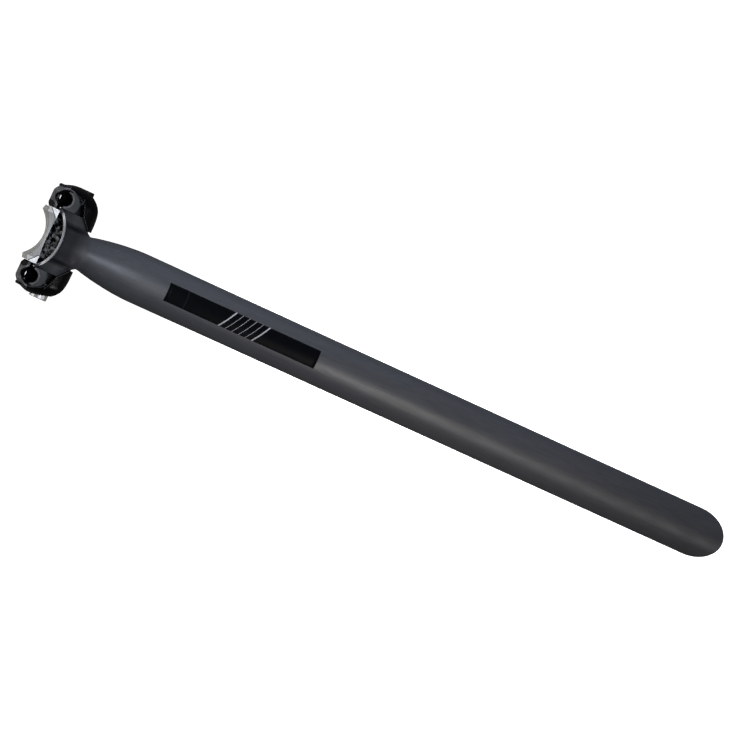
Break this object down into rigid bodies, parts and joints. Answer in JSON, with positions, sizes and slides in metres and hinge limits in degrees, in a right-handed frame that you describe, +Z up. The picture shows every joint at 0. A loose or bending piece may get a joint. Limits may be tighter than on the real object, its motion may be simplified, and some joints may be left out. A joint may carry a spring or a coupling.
{
  "type": "bicycle seatpost",
  "caption": "Straight moulded-carbon bicycle seatpost with a slant-cut lower end and a cross-bolt saddle clamp of domed cheeks that hook over the rails.",
  "frame": {"origin": "on the post's axis at the minimum-insertion line, 100 mm above the lowest point of the tube", "axes": "+Z up the post's axis towards the saddle, +X along the clamp bolt to its nut end, +Y forward along the saddle rails; the picture looks from -Y"},
  "size_m": [0.0625, 0.0278, 0.4247],
  "materials": {
    "carbon": "matte clear-coated black carbon moulding",
    "liner": "machined bright alloy",
    "black_alloy": "black anodised alloy",
    "cheek": "satin black anodised forged alloy",
    "yoke": "bead-blasted bare alloy",
    "steel": "bright plated steel"
  },
  "bodies": {
    "post": {"post_body": "carbon", "head_liner": "liner"},
    "clamp_core": {"inner_jaw_left": "black_alloy", "inner_jaw_right": "black_alloy", "rail_yoke": "yoke", "rail_wedge_left": "yoke", "rail_wedge_right": "yoke", "spacer_sleeve": "black_alloy"},
    "left_cheek": {"outer_cheek_left": "cheek", "clamp_bolt": "steel", "bolt_washer": "steel"},
    "right_cheek": {"outer_cheek_right": "cheek", "clamp_nut": "black_alloy", "nut_washer": "steel"}
  },
  "joints": [
    {"name": "saddle_tilt", "type": "hinge", "parent": "post", "child": "clamp_core", "pos_m": [0, 0, 0.309], "axis": [1, 0, 0], "range_deg": [-15, 15]},
    {"name": "left_cheek_open", "type": "slide", "parent": "clamp_core", "child": "left_cheek", "axis": [-1, 0, 0], "range_m": [0, 0.002]},
    {"name": "right_cheek_open", "type": "slide", "parent": "clamp_core", "child": "right_cheek", "axis": [1, 0, 0], "range_m": [0, 0.002]}
  ]
}
